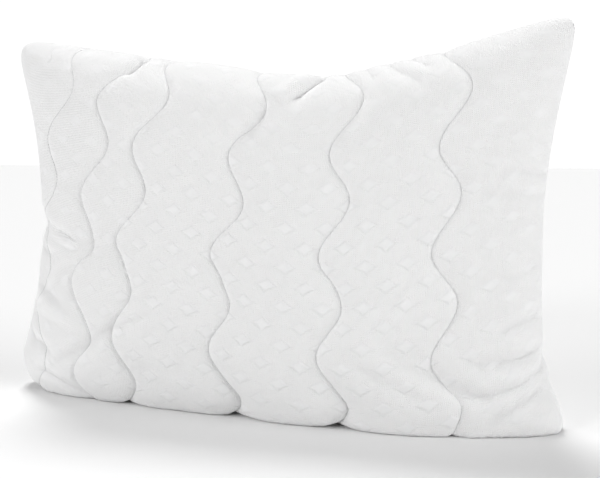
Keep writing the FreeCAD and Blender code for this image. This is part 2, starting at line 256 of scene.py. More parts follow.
def read_points(mesh):
    """The mesh's vertices as rows of an array."""
    co = np.empty(len(mesh.vertices) * 3)
    mesh.vertices.foreach_get("co", co)
    return co.reshape(-1, 3)


# Frames that the cloth takes to come to rest, and each flat panel's distance from the seam plane.
SETTLE_FRAMES, PANEL_GAP = 30, 0.0001


def inflate(s0, t0):
    """Fills the sewn cover with air pressure; its rim is held along the seam line."""
    s, t = flat_grid(s0, t0)
    nx, nz = s.shape
    front, back, rim, faces = closed_faces(nx, nz)
    start = np.zeros((back.max() + 1, 3))
    flat = np.zeros_like(start)
    start[front] = first_form(s, t, FRONT)
    flat[front] = np.stack([s * GIVE_S, np.zeros_like(s) - PANEL_GAP, t * GIVE_T], axis=-1)
    inner = ~rim
    start[back[inner]] = first_form(s, t, BACK)[inner]
    behind = np.stack([s * GIVE_S, np.zeros_like(s) + PANEL_GAP, t * GIVE_T], axis=-1)
    flat[back[inner]] = behind[inner]

    obj = new_mesh("sim_cover", start, faces)
    obj.shape_key_add(name="Basis")
    key = obj.shape_key_add(name="flat")
    key.data.foreach_set("co", flat.ravel())
    held = obj.vertex_groups.new(name="held")
    held.add([int(i) for i in front[rim]], 1.0, "REPLACE")

    floor = ground_plate("sim_floor", 1)
    floor.modifiers.new("Collision", "COLLISION")
    floor.collision.thickness_outer = 0.001
    floor.collision.cloth_friction = 5.0

    cloth = obj.modifiers.new("Cloth", "CLOTH")
    settings = cloth.settings
    settings.quality = 8
    settings.mass = 0.25
    settings.tension_stiffness = 40.0
    settings.compression_stiffness = 40.0
    settings.shear_stiffness = 12.0
    settings.bending_stiffness = 3.0
    settings.tension_damping = 12.0
    settings.compression_damping = 12.0
    settings.shear_damping = 8.0
    settings.bending_damping = 1.0
    settings.air_damping = 2.0
    settings.vertex_group_mass = "held"
    settings.rest_shape_key = key
    settings.use_pressure = True
    settings.uniform_pressure_force = 4.0
    settings.effector_weights.gravity = 0.0
    cloth.collision_settings.use_collision = True
    cloth.collision_settings.distance_min = 0.001
    cloth.collision_settings.use_self_collision = False
    cloth.point_cache.frame_start = 1
    cloth.point_cache.frame_end = 2 * SETTLE_FRAMES

    scene = bpy.context.scene
    for number in range(1, SETTLE_FRAMES + 1):
        scene.frame_set(number)
    result = obj.evaluated_get(bpy.context.evaluated_depsgraph_get())
    points = read_points(result.to_mesh())
    result.to_mesh_clear()
    bpy.data.objects.remove(obj)
    bpy.data.objects.remove(floor)
    scene.frame_set(1)
    return points[front], points[back]


# ---------------------------------------- smooth surface from the grid

# How many of the grid's columns and rows are smoothed in the bottom left corner, and how often.
EASE_COLUMNS, EASE_ROWS, EASE_STEPS = 12, 5, 3


def ease(points):
    """Takes the small crumples out of the cloth in the bottom left corner."""
    for _ in range(EASE_STEPS):
        across = 0.25 * points[:-2] + 0.5 * points[1:-1] + 0.25 * points[2:]
        points[1:EASE_COLUMNS, 1:EASE_ROWS] = across[:EASE_COLUMNS - 1, 1:EASE_ROWS]
        upward = 0.25 * points[:, :-2] + 0.5 * points[:, 1:-1] + 0.25 * points[:, 2:]
        points[1:EASE_COLUMNS, 1:EASE_ROWS] = upward[1:EASE_COLUMNS, :EASE_ROWS - 1]


def spline_weights(coarse, fine):
    """Catmull-Rom weights that carry values at coarse positions to fine ones."""
    n = len(coarse)
    k = np.clip(np.searchsorted(coarse, fine, side="right") - 1, 0, n - 2)
    x = (fine - coarse[k]) / (coarse[k + 1] - coarse[k])
    weights = np.zeros((len(fine), n))
    basis = np.stack([-0.5 * x + x ** 2 - 0.5 * x ** 3,
                      1.0 - 2.5 * x ** 2 + 1.5 * x ** 3,
                      0.5 * x + 2.0 * x ** 2 - 1.5 * x ** 3,
                      -0.5 * x ** 2 + 0.5 * x ** 3], axis=-1)
    rows = np.arange(len(fine))
    for j in range(4):
        index = k + j - 1
        low, high = index < 0, index > n - 1
        inside = ~(low | high)
        np.add.at(weights, (rows[inside], index[inside]), basis[inside, j])
        np.add.at(weights, (rows[low], np.zeros(low.sum(), int)), 2.0 * basis[low, j])
        np.add.at(weights, (rows[low], np.ones(low.sum(), int)), -basis[low, j])
        np.add.at(weights, (rows[high], np.full(high.sum(), n - 1)), 2.0 * basis[high, j])
        np.add.at(weights, (rows[high], np.full(high.sum(), n - 2)), -basis[high, j])
    return weights


def carry(points, ws, wt):
    """Points of a coarse grid carried to a fine one."""
    return np.einsum("ai,ijk,bj->abk", ws, points, wt, optimize=True)


def grid_normals(points, side):
    """Directions out of the pillow at each point of a panel's grid."""
    ds = np.gradient(points, axis=0)
    dt = np.gradient(points, axis=1)
    n = np.cross(ds, dt)
    n = n / (np.linalg.norm(n, axis=-1, keepdims=True) + 1e-12)
    return n if side == FRONT else -n


# ---------------------------------------- relief of the quilted knit

# How far the cloth stands proud between the rows and over what distance it is drawn in, then the
# depth and width of the groove that the thread pulls.
PUFF, PUFF_REACH = 0.0042, 0.0085
GROOVE, GROOVE_REACH = 0.0009, 0.0014
# The diamonds: their pitch along and up the cloth, the middle of one of them, their width and
# height, and the power that bends their sides (1 is straight).
DIAMOND_S, DIAMOND_T, DIAMOND_AT = 0.0370, 0.0345, (0.3935, 0.2410)
DIAMOND_WIDE, DIAMOND_TALL, DIAMOND_POWER = 0.0205, 0.0124, 0.82
# How far the diamonds stand up, and how far the cloth rolls out beside the seam.
RELIEF, SEAM_ROLL = 0.00050, 0.0012
# Where the diamonds fade upwards, towards the left and towards the right, and what is left of them.
SLACK_T, SLACK_S, SLACK_RIGHT, SLACK_LEAST = (0.22, 0.36), (0.06, 0.22), (0.45, 0.54), 0.40


def row_distance(s, t, index):
    """Distance across the cloth to one quilting row."""
    line = s[row_column(index, FINE)]
    slope = np.gradient(line, t[0])
    return np.abs(s - line[None, :]) / np.sqrt(1.0 + slope[None, :] ** 2)


def quilting(s, t):
    """The cloth stands proud between the rows and is drawn in along them."""
    height = np.zeros_like(s)
    for index, row in enumerate(ROWS):
        d = row_distance(s, t, index)
        height -= row.depth * (PUFF * np.exp(-d / PUFF_REACH) + GROOVE * np.exp(-d / GROOVE_REACH))
    return height + PUFF


def rim_distance(s, t):
    """Distance across the flat cloth to the nearest seam."""
    return np.minimum(np.minimum(s, FLAT_W - s), np.minimum(t, FLAT_H - t))


def slack(s, t):
    """Where the knit is not pulled tight by the fill, so the diamonds stand up."""
    low = 1.0 - (1.0 - SLACK_LEAST) * smooth(t, *SLACK_T)
    left = SLACK_LEAST + (1.0 - SLACK_LEAST) * smooth(s, *SLACK_S)
    right = 1.0 - (1.0 - SLACK_LEAST) * smooth(s, *SLACK_RIGHT)
    return low * left * right


def diamonds(s, t):
    """Raised jacquard diamonds in a staggered lattice; 1 on a diamond, 0 between."""
    a = ((s - DIAMOND_AT[0]) / DIAMOND_S) % 1.0
    b = ((t - DIAMOND_AT[1]) / DIAMOND_T) % 1.0
    best = np.zeros_like(s)
    for ca, cb in ((0.0, 0.0), (1.0, 0.0), (0.0, 1.0), (1.0, 1.0), (0.5, 0.5)):
        dx = np.abs(a - ca) * DIAMOND_S / (0.5 * DIAMOND_WIDE)
        dz = np.abs(b - cb) * DIAMOND_T / (0.5 * DIAMOND_TALL)
        r = dx ** DIAMOND_POWER + dz ** DIAMOND_POWER
        best = np.maximum(best, 1.0 - smooth(r, 0.82, 1.12))
    return best


# ---------------------------------------- zip in the bottom seam

# Where the slot starts and ends and how far it takes to close. Then half its width, the height of
# its lips, and the height that the hidden layers keep above the zip.
ZIP_FROM, ZIP_TO, ZIP_FADE = -0.180, 0.175, 0.010
SLOT_HALF, LIP_Z, ZIP_ROOF = 0.0046, 0.0050, 0.0080
# How far up the cloth the slot and its lips reach, and where the roof over the zip falls away.
SLOT_REACH, LIP_REACH, ROOF_EDGE = 0.024, 0.003, (0.016, 0.034)


def along_zip(x):
    """1 beside the zip, 0 past its ends."""
    return smooth(x, ZIP_FROM - ZIP_FADE, ZIP_FROM) * (1.0 - smooth(x, ZIP_TO, ZIP_TO + ZIP_FADE))


def part_seam(points, t, side):
    """Opens the bottom seam along the zip and turns the knit's edge up against the tape."""
    near = along_zip(points[..., 0])
    points[..., 1] += side * SLOT_HALF * (1.0 - smooth(t, 0.0, SLOT_REACH)) * near
    points[..., 2] = np.maximum(points[..., 2], LIP_Z * np.exp(-(t / LIP_REACH) ** 2) * near)


def over_zip(points, clearance):
    """Keeps a hidden layer above the zip."""
    near = along_zip(points[..., 0]) * (1.0 - smooth(np.abs(points[..., 1]), *ROOF_EDGE))
    points[..., 2] = np.maximum(points[..., 2], (ZIP_ROOF + clearance) * near)


# ---------------------------------------- folds and creases

# Each fold: its points in flat coordinates, its height (a crease is negative) and how wide it is
# on either side of its line.
FOLDS = (
    (((0.149, 0.396), (0.153, 0.380), (0.148, 0.355)), -0.0055, 0.0058),
    (((0.311, 0.350), (0.326, 0.368), (0.337, 0.382), (0.347, 0.398)), -0.0075, 0.0066),
    (((0.300, 0.352), (0.314, 0.372), (0.325, 0.392)), 0.0035, 0.0080),
    (((0.292, 0.352), (0.285, 0.334), (0.271, 0.314)), -0.0030, 0.0085),
    (((0.050, 0.386), (0.056, 0.374), (0.059, 0.362)), -0.0015, 0.0035),
    (((0.010, 0.206), (0.038, 0.203), (0.065, 0.200), (0.090, 0.196)), -0.0040, 0.0065),
    (((0.034, 0.196), (0.060, 0.194), (0.096, 0.190)), 0.0026, 0.0045),
    (((0.010, 0.160), (0.040, 0.172), (0.075, 0.176)), -0.0020, 0.0060),
    (((0.008, 0.094), (0.045, 0.117), (0.070, 0.119), (0.110, 0.116)), 0.0026, 0.0060),
    (((0.012, 0.110), (0.045, 0.133), (0.085, 0.134)), -0.0026, 0.0080),
    (((0.010, 0.060), (0.045, 0.080), (0.080, 0.078)), -0.0035, 0.0065),
    (((0.030, 0.046), (0.070, 0.056), (0.136, 0.044)), -0.0030, 0.0060),
    (((0.569, 0.252), (0.545, 0.254), (0.505, 0.268)), -0.0014, 0.0065),
    (((0.568, 0.226), (0.530, 0.238), (0.482, 0.256)), -0.0014, 0.0080),
    (((0.569, 0.170), (0.540, 0.168), (0.500, 0.172)), -0.0012, 0.0080),
    (((0.569, 0.118), (0.545, 0.122), (0.505, 0.131)), -0.0028, 0.0080),
    (((0.568, 0.083), (0.535, 0.094), (0.478, 0.116)), -0.0032, 0.0080),
    (((0.568, 0.074), (0.530, 0.084), (0.490, 0.096)), 0.0026, 0.0065),
    (((0.566, 0.066), (0.530, 0.073), (0.470, 0.087)), -0.0028, 0.0070),
    (((0.560, 0.052), (0.525, 0.059), (0.488, 0.056)), -0.0020, 0.0070),
    (((0.396, 0.396), (0.413, 0.373), (0.440, 0.350)), -0.0022, 0.0060),
    (((0.418, 0.397), (0.430, 0.380), (0.446, 0.366)), -0.0018, 0.0045),
    (((0.372, 0.397), (0.384, 0.384), (0.396, 0.362)), -0.0016, 0.0050),
)


def stroke(s, t, points, height, width):
    """A fold along a line of points, dying away at both ends."""
    points = np.array(points)
    lengths = np.linalg.norm(np.diff(points, axis=0), axis=1)
    total, before = lengths.sum(), 0.0
    nearest = np.full(s.shape, 1e9)
    where = np.zeros(s.shape)
    for k, length in enumerate(lengths):
        d = (points[k + 1] - points[k]) / length
        along = np.clip((s - points[k, 0]) * d[0] + (t - points[k, 1]) * d[1], 0.0, length)
        away = np.hypot(s - points[k, 0] - along * d[0], t - points[k, 1] - along * d[1])
        closer = away < nearest
        nearest = np.where(closer, away, nearest)
        where = np.where(closer, (before + along) / total, where)
        before += length
    fade = smooth(where, 0.0, 0.3) * (1.0 - smooth(where, 0.7, 1.0))
    return height * fade * np.exp(-(nearest / width) ** 2)


def folds(s, t):
    """All the folds and creases together."""
    return sum((stroke(s, t, *fold) for fold in FOLDS), np.zeros_like(s))


# Rows that are pinched where they meet the foot, each with its depth. Then how far a pinch reaches
# to either side, the height of its middle and how tall it is.
PINCHES = (("c", 0.0020), ("d", 0.0055), ("e", 0.0060))
PINCH_REACH, PINCH_T, PINCH_TALL = 0.022, 0.072, 0.030


def pinches(s, t):
    """The bottom of the front is drawn in where the rows meet the foot."""
    total = np.zeros_like(s)
    names = [row.name for row in ROWS]
    for name, depth in PINCHES:
        line = s[row_column(names.index(name), FINE)][None, :]
        beside = np.exp(-np.abs(s - line) / PINCH_REACH)
        total -= depth * beside * np.exp(-((t - PINCH_T) / PINCH_TALL) ** 2)
    return total


# ---------------------------------------- build the cover

coarse_s, coarse_t = columns(), np.linspace(0.0, FLAT_H, CELLS_UP + 1)
fine_s, fine_t = columns(FINE, CROWD), np.linspace(0.0, FLAT_H, CELLS_UP * FINE + 1)
form = dict(zip((FRONT, BACK), inflate(coarse_s, coarse_t)))
for points in form.values():
    ease(points)
WS, WT = spline_weights(coarse_s, fine_s), spline_weights(coarse_t, fine_t)
flat_s, flat_t = flat_grid(fine_s, fine_t)
edge = rim_distance(flat_s, flat_t)


def grid_faces(nx, nz, flip):
    """Four-sided faces between the points of a grid."""
    grid = np.arange(nx * nz).reshape(nx, nz)
    quads = np.stack([grid[:-1, :-1], grid[1:, :-1], grid[1:, 1:], grid[:-1, 1:]], axis=-1)
    quads = quads.reshape(-1, 4)
    return quads[:, ::-1] if flip else quads


def add_uv(obj, s, t):
    """Flat coordinates, in metres, as the piece's UVs."""
    mesh = obj.data
    layer = mesh.uv_layers.new(name="flat")
    loops = np.empty(len(mesh.loops), np.int64)
    mesh.loops.foreach_get("vertex_index", loops)
    uv = np.stack([s.ravel()[loops], t.ravel()[loops]], axis=-1)
    layer.data.foreach_set("uv", uv.ravel())


# Cloth lower than PRESS_BELOW is pressed. It keeps GROUND_GAP from the ground, and PRESS_TRACE of
# what its relief lacks to PRESS_PROUD.
GROUND_GAP, PRESS_BELOW, PRESS_TRACE, PRESS_PROUD = 0.0004, 0.004, 0.35, 0.0034


def settle(points, height):
    """Presses what would reach below the ground flat, and keeps a trace of the quilting there."""
    floor_z = GROUND_GAP + PRESS_TRACE * np.clip(PRESS_PROUD - height, 0.0, PRESS_BELOW)
    z = points[..., 2]
    blend = smooth(z, 0.0, PRESS_BELOW)
    pressed = np.maximum(z, floor_z * (1.0 - blend) + GROUND_GAP * blend)
    points[..., 2] = np.where(z < PRESS_BELOW, pressed, z)


def rides(obj, slot, *nodes):
    """Ties a piece to the pillow's body, its material slot and the nodes it replaces."""
    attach(obj, PILLOW)
    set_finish(obj, slot)
    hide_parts(*nodes)
    return obj


def closed_shell(name, outer, inner, flip, s, t):
    """A thin closed layer between two grids that share their rim."""
    nx, nz = outer.shape[:2]
    top, bottom, _, faces = closed_faces(nx, nz)
    verts = np.zeros((bottom.max() + 1, 3))
    verts[bottom] = inner
    verts[top] = outer
    flat = np.zeros((bottom.max() + 1, 2))
    flat[bottom] = flat[top] = np.stack([s, t], axis=-1)
    obj = new_mesh(name, verts, faces[:, ::-1] if flip else faces)
    add_uv(obj, flat[:, 0], flat[:, 1])
    return obj


# Hidden layers, from the wadding inwards: piece, slot, node, how deep the outer and the inner face
# lie under the base, and how far the layer clears the zip. The wadding's outer face follows the
# knit instead, WADDING_GAP below it. At the ground and over the zip a layer's faces stay LEAF
# apart, and the wadding's outer one may lie WADDING_DROP lower.
LAYERS = (("wadding_", "wadding", "cover_wadding_", None, 0.0015, 0.0010),
          ("lining_", "lining_cloth", "cover_lining_", 0.0017, 0.0020, 0.0016),
          ("case_", "case_cloth", "inner_case_", 0.0024, 0.0027, 0.0024))
LEAF, LAYER_FLOOR, WADDING_GAP, WADDING_DROP = 0.0003, 0.0022, 0.0012, 0.0008
FILL_DEPTH, FILL_FLOOR = 0.0032, 0.0056
# The quilting fades out within SEAM_FADE of a seam, and the diamonds fade in over DIAMOND_EDGE.
SEAM_FADE, SEAM_ROLL_REACH, DIAMOND_EDGE = 0.012, 0.0025, (0.004, 0.02)
HALF = slice(None, None, 2)
tapered = smooth(edge, 0.0, SEAM_FADE)
base, normals, knit, fill_face = {}, {}, {}, {}


def shape_panel(side):
    """The panel's base surface with its folds. Returns the quilting's height above it."""
    base[side] = carry(form[side], WS, WT)
    normals[side] = grid_normals(base[side], side)
    if side == FRONT:
        shape = (folds(flat_s, flat_t) + pinches(flat_s, flat_t)) * tapered
        base[side] = base[side] + normals[side] * shape[..., None]
        normals[side] = grid_normals(base[side], side)
    return quilting(flat_s, flat_t) * tapered


def knit_panel(side_name, side, puff):
    """The quilted jacquard knit, with its diamonds and the roll beside its seams."""
    raised = slack(flat_s, flat_t) * diamonds(flat_s, flat_t) * smooth(edge, *DIAMOND_EDGE)
    height = puff + RELIEF * raised
    height = height + SEAM_ROLL * (1.0 - np.exp(-edge / SEAM_ROLL_REACH))
    points = base[side] + normals[side] * height[..., None]
    settle(points, height)
    part_seam(points, flat_t, side)
    knit[side] = points
    obj = new_mesh("knit_" + side_name, points.reshape(-1, 3), grid_faces(*flat_s.shape, side == BACK))
    add_uv(obj, flat_s, flat_t)
    rides(obj, "jacquard_knit", "cover_knit_" + side_name)


def layer_face(side, height, lowest, clearance):
    """One face of a hidden layer, height above the base (below it where negative)."""
    face = base[side][HALF, HALF] + normals[side][HALF, HALF] * (height * tapered[HALF, HALF])[..., None]
    face[..., 2] = np.maximum(face[..., 2], lowest)
    over_zip(face, clearance)
    return face


def hidden_layers(side_name, side, puff):
    """Wadding, lining and inner case under one knit panel, and the face of the fill below them."""
    for name, slot, node, outer, inner, clear in LAYERS:
        if slot == "wadding":
            top, drop = np.maximum(puff[HALF, HALF] - WADDING_GAP, -WADDING_GAP), WADDING_DROP
        else:
            top, drop = -outer, 0.0
        over = layer_face(side, top, LAYER_FLOOR + inner - LEAF, clear - drop)
        under = layer_face(side, -inner, LAYER_FLOOR + inner, clear + LEAF)
        obj = closed_shell(name + side_name, over, under, side == BACK, flat_s[HALF, HALF],
                           flat_t[HALF, HALF])
        rides(obj, slot, node + side_name)
    fill_face[side] = layer_face(side, -FILL_DEPTH, FILL_FLOOR, FILL_DEPTH)


def fibre_fill():
    """The fill, closed between its front and back faces."""
    front, back, _, faces = closed_faces(*fill_face[FRONT].shape[:2])
    verts = np.zeros((back.max() + 1, 3))
    verts[back] = fill_face[BACK]
    verts[front] = fill_face[FRONT]
    fill = new_mesh("fill", verts, faces)
    rides(fill, "fibre", "fibre_fill")


for side_name, side in SIDES:
    panel_puff = shape_panel(side)
    knit_panel(side_name, side, panel_puff)
    hidden_layers(side_name, side, panel_puff)
fibre_fill()

# ---------------------------------------- thread

# A stitch's length, the thread's half thickness, how deep a stitch dives at its ends, and how far
# the quilting thread and the seam thread lie above the cloth.
STITCH, THREAD, DIVE, QUILT_PROUD, SEAM_PROUD = 0.0032, 0.00032, 0.0008, 0.0003, 0.0002


def resample(path, extra, step):
    """Points at even steps along a path, with their normals and the distance travelled."""
    lengths = np.concatenate([[0.0], np.cumsum(np.linalg.norm(np.diff(path, axis=0), axis=1))])
    places = np.linspace(0.0, lengths[-1], max(int(lengths[-1] / step), 4))
    points, up = (np.stack([np.interp(places, lengths, values[:, k]) for k in range(3)], axis=-1)
                  for values in (path, extra))
    return points, up, places


def tube(name, path, up, radius, around=6):
    """Round thread or wire along a path, closed at its ends."""
    ahead = np.gradient(path, axis=0)
    ahead /= np.linalg.norm(ahead, axis=1, keepdims=True)
    across = np.cross(ahead, up)
    across /= np.linalg.norm(across, axis=1, keepdims=True)
    up = np.cross(across, ahead)
    angle = np.arange(around) / around * 2.0 * np.pi
    ring = np.cos(angle)[None, :, None] * across[:, None] + np.sin(angle)[None, :, None] * up[:, None]
    verts = (path[:, None] + radius * ring).reshape(-1, 3)
    n = len(path)
    k, j = np.meshgrid(np.arange(n - 1), np.arange(around), indexing="ij")
    a, b = k * around + j, k * around + (j + 1) % around
    quads = np.stack([a, b, b + around, a + around], axis=-1).reshape(-1, 4)
    faces = [tuple(map(int, q)) for q in quads]
    faces.append(tuple(range(around))[::-1])
    faces.append(tuple(range((n - 1) * around, n * around)))
    mesh = bpy.data.meshes.new(name)
    mesh.from_pydata([tuple(v) for v in verts], [], faces)
    mesh.polygons.foreach_set("use_smooth", [True] * len(mesh.polygons))
    layer = mesh.uv_layers.new(name="flat")
    loops = np.empty(len(mesh.loops), np.int64)
    mesh.loops.foreach_get("vertex_index", loops)
    travelled = np.concatenate([[0.0], np.cumsum(np.linalg.norm(np.diff(path, axis=0), axis=1))])
    turn = (loops % around) / around * 2.0 * np.pi * radius
    layer.data.foreach_set("uv", np.stack([travelled[loops // around], turn], axis=-1).ravel())
    obj = bpy.data.objects.new(name, mesh)
    bpy.context.scene.collection.objects.link(obj)
    return obj


def stitches(name, path, normal, proud, node):
    """Lockstitch: each stitch lies on the cloth and dives into it at both ends."""
    points, up, places = resample(path, normal, STITCH / 8.0)
    phase = (places / STITCH) % 1.0
    dive = np.abs(2.0 * phase - 1.0) ** 5
    points = points + up * (proud - DIVE * dive)[:, None]
    rides(tube(name, points, up, THREAD), "sewing_thread", node)


for side_name, side in SIDES:
    for index, row in enumerate(ROWS):
        column = row_column(index, FINE)
        path, normal = knit[side][column, 3:-3], normals[side][column, 3:-3]
        stitches("stitching_%s_%s" % (side_name, row.name), path, normal, QUILT_PROUD,
                 "quilt_thread_%s_%s" % (side_name, row.name))

for name, index in (("left", (0, slice(None))), ("right", (-1, slice(None))), ("top", (slice(None), -1))):
    seam = knit[FRONT][index]
    outward = normals[FRONT][index] + normals[BACK][index]
    outward = outward / (np.linalg.norm(outward, axis=1, keepdims=True) + 1e-9)
    stitches("seam_stitching_" + name, seam[2:-2], outward[2:-2], SEAM_PROUD, "seam_thread_" + name)

# ---------------------------------------- zip tapes and coils

# The tape's inner and outer edge, its lower and upper face, and half its length.
TAPE_IN, TAPE_OUT, TAPE_LOW, TAPE_HIGH, TAPE_HALF = 0.0015, 0.0140, 0.0053, 0.0059, 0.175
# Half the coil's length, its pitch and its wire's half thickness. Then the distance of its middle
# from the seam plane, its height, and how far its wire swings to the side and up.
COIL_HALF, COIL_TURN, WIRE = 0.166, 0.0014, 0.00033
COIL_Y, COIL_Z, COIL_SIDE, COIL_UP = 0.00182, 0.00424, 0.00145, 0.00070


def zip_tape(side_name, side):
    """A woven strip with rounded edges, beside its coil."""
    along = np.linspace(-TAPE_HALF, TAPE_HALF, 281)
    x, w = np.meshgrid(along, np.linspace(0.0, 1.0, 17), indexing="ij")
    rounded = np.clip(1.0 - np.abs(2.0 * w - 1.0) ** 8, 0.0, 1.0) ** 0.5
    thick = 0.5 * (TAPE_HIGH - TAPE_LOW) * rounded
    y = side * (TAPE_IN + (TAPE_OUT - TAPE_IN) * w)
    middle = 0.5 * (TAPE_LOW + TAPE_HIGH)
    tape = closed_shell("tape_" + side_name, np.stack([x, y, middle - thick], -1),
                        np.stack([x, y, middle + thick], -1), side == FRONT,
                        x, w * (TAPE_OUT - TAPE_IN))
    rides(tape, "zip_tape", "zip_tape_" + side_name)


def zip_coil(side_name, side):
    """A wound coil, whose turns lean so that they pass between those of the other side."""
    turns = 2.0 * COIL_HALF / COIL_TURN
    angle = np.linspace(0.0, 2.0 * np.pi * turns, int(turns * 14))
    lean = 0.25 * COIL_TURN if side == FRONT else -0.25 * COIL_TURN
    path = np.stack([angle / (2.0 * np.pi) * COIL_TURN - COIL_HALF + lean * np.cos(angle),
                     side * (COIL_Y - COIL_SIDE * np.cos(angle)),
                     COIL_Z + COIL_UP * np.sin(angle)], axis=-1)
    up = np.stack([0.0 * angle, side * -np.cos(angle), np.sin(angle)], axis=-1)
    rides(tube("coil_" + side_name, path, up, WIRE), "zip_coil", "zip_coil_" + side_name)


for side_name, side in SIDES:
    zip_tape(side_name, side)
    zip_coil(side_name, side)

# ---------------------------------------- care label

# How high up the left seam the label starts, its width, the length of each leaf once it is folded,
# and how far it lies off the cloth. Then half the gap between its leaves, the length of its fold,
# and how far its free end curls away.
LABEL_T, LABEL_WIDE, LABEL_LONG, LABEL_OFF = 0.117, 0.026, 0.044, 0.0022
LEAF_GAP, LABEL_FOLD, LABEL_CURL = 0.00035, 0.0012, 0.004


def over_back(place, out):
    """Points and normals of the back panel at height place, out metres from the left seam."""
    mix = place / FLAT_H * (len(fine_t) - 1)
    low = int(mix)
    part = mix - low
    line_s = (1.0 - part) * flat_s[:, low] + part * flat_s[:, low + 1]
    found = []
    for source in (knit[BACK], normals[BACK]):
        line = (1.0 - part) * source[:, low] + part * source[:, low + 1]
        found.append(np.stack([np.interp(out, line_s, line[:, c]) for c in range(3)], axis=-1))
    return found


def care_label():
    """One strip folded in half, caught in the left seam and lying on the back."""
    across = np.linspace(0.0, LABEL_WIDE, 14)
    run = np.linspace(0.0, 2.0 * LABEL_LONG, 97)
    out = np.minimum(run, 2.0 * LABEL_LONG - run)
    fold = np.clip((LABEL_LONG - out) / LABEL_FOLD, 0.0, 1.0)
    gap = LEAF_GAP * np.sqrt(np.clip(1.0 - (1.0 - fold) ** 2, 0.0, 1.0))
    lift = LABEL_OFF + np.where(run < LABEL_LONG, gap, -gap) + LABEL_CURL * (out / LABEL_LONG) ** 3
    lift = lift * smooth(out, -0.002, 0.004)
    columns_at = [over_back(place, out) for place in LABEL_T + across]
    seat, lean = (np.stack([column[k] for column in columns_at], axis=1) for k in (0, 1))
    points = seat + lean * lift[:, None, None]
    label = new_mesh("care_label_leaf", points.reshape(-1, 3), grid_faces(len(run), len(across), True))
    add_uv(label, np.repeat(run[:, None], len(across), 1), np.repeat(across[None, :], len(run), 0))
    rides(label, "label_satin", "care_label")


care_label()

# ---------------------------------------- materials

# Pitch of the knit's dots, of its loops along and up the cloth, and of the other cloths' texture.
DOT_PITCH, LOOP_S, LOOP_T = 0.0032, 0.00095, 0.00080
TWIST_PITCH, HERRINGBONE, TAPE_RIB, SATIN_RIB, SATIN_EDGE = 0.0011, 0.0025, 0.0008, 0.00055, 0.0012


class Nodes:
    """Short way to lay out a material's nodes."""

    def __init__(self, name):
        self.material = bpy.data.materials.new(name)
        self.material.use_nodes = True
        self.tree = self.material.node_tree
        self.shader = self.tree.nodes["Principled BSDF"]

    def add(self, kind, **settings):
        """A new node with its settings."""
        node = self.tree.nodes.new(kind)
        for key, value in settings.items():
            setattr(node, key, value)
        return node

    def link(self, a, b):
        """Joins an output to an input."""
        self.tree.links.new(a, b)

    def math(self, operation, a, b=None):
        """The result of a sum on numbers or outputs."""
        node = self.add("ShaderNodeMath", operation=operation)
        for index, value in enumerate((a, b)):
            if value is None:
                continue
            if isinstance(value, (int, float)):
                node.inputs[index].default_value = value
            else:
                self.link(value, node.inputs[index])
        return node.outputs[0]


def clamp_step(m, value, low, high, a=0.0, b=1.0):
    """A soft step from a to b as value goes from low to high."""
    node = m.add("ShaderNodeMapRange", interpolation_type="SMOOTHSTEP")
    for socket, number in (("From Min", low), ("From Max", high), ("To Min", a), ("To Max", b)):
        node.inputs[socket].default_value = number
    m.link(value, node.inputs["Value"])
    return node.outputs["Result"]


def flat_axes(m):
    """The flat coordinates together, then each on its own."""
    uv = m.add("ShaderNodeUVMap", uv_map="flat")
    split = m.add("ShaderNodeSeparateXYZ")
    m.link(uv.outputs[0], split.inputs[0])
    return uv.outputs[0], split.outputs[0], split.outputs[1]


def bump(m, height, distance, strength=1.0, after=None):
    """A normal that makes height stand out by distance, on top of an earlier bump."""
    node = m.add("ShaderNodeBump")
    node.inputs["Strength"].default_value = strength
    node.inputs["Distance"].default_value = distance
    m.link(height, node.inputs["Height"])
    if after is not None:
        m.link(after, node.inputs["Normal"])
    return node.outputs[0]


def waves(m, value, pitch):
    """A ripple along one coordinate, from -1 to 1."""
    return m.math("SINE", m.math("MULTIPLY", value, 2.0 * math.pi / pitch))


def noise(m, vector, scale, detail=2.0):
    """Soft random variation around 0.5."""
    node = m.add("ShaderNodeTexNoise")
    node.inputs["Scale"].default_value = scale
    node.inputs["Detail"].default_value = detail
    m.link(vector, node.inputs["Vector"])
    return node.outputs[0]


def tint(m, value, dark, light):
    """Base colour from dark to light as value goes from 0 to 1."""
    ramp = m.add("ShaderNodeValToRGB")
    ramp.color_ramp.elements[0].color = (*dark, 1.0)
    ramp.color_ramp.elements[1].color = (*light, 1.0)
    m.link(value, ramp.inputs[0])
    m.link(ramp.outputs[0], m.shader.inputs["Base Color"])


def lattice(m, s, t, shift):
    """How far a point is from the nearest diamond's middle, 1 on the diamond's outline."""
    total = None
    for value, at, pitch, size in ((s, DIAMOND_AT[0], DIAMOND_S, DIAMOND_WIDE),
                                   (t, DIAMOND_AT[1], DIAMOND_T, DIAMOND_TALL)):
        turned = m.math("MULTIPLY", m.math("SUBTRACT", value, at - shift * pitch), 1.0 / pitch)
        away = m.math("ABSOLUTE", m.math("SUBTRACT", m.math("FRACT", m.math("ADD", turned, 100.5)), 0.5))
        part = m.math("POWER", m.math("MULTIPLY", away, 2.0 * pitch / size), DIAMOND_POWER)
        total = part if total is None else m.math("ADD", total, part)
    return total


def slack_nodes(m, s, t):
    """How crisp the diamonds are: crisp low down in the middle, pulled flat elsewhere."""
    low = clamp_step(m, t, SLACK_T[0], SLACK_T[1], 1.0, SLACK_LEAST)
    left = clamp_step(m, s, SLACK_S[0], SLACK_S[1], SLACK_LEAST, 1.0)
    right = clamp_step(m, s, SLACK_RIGHT[0], SLACK_RIGHT[1], 1.0, SLACK_LEAST)
    return m.math("MULTIPLY", low, m.math("MULTIPLY", left, right))


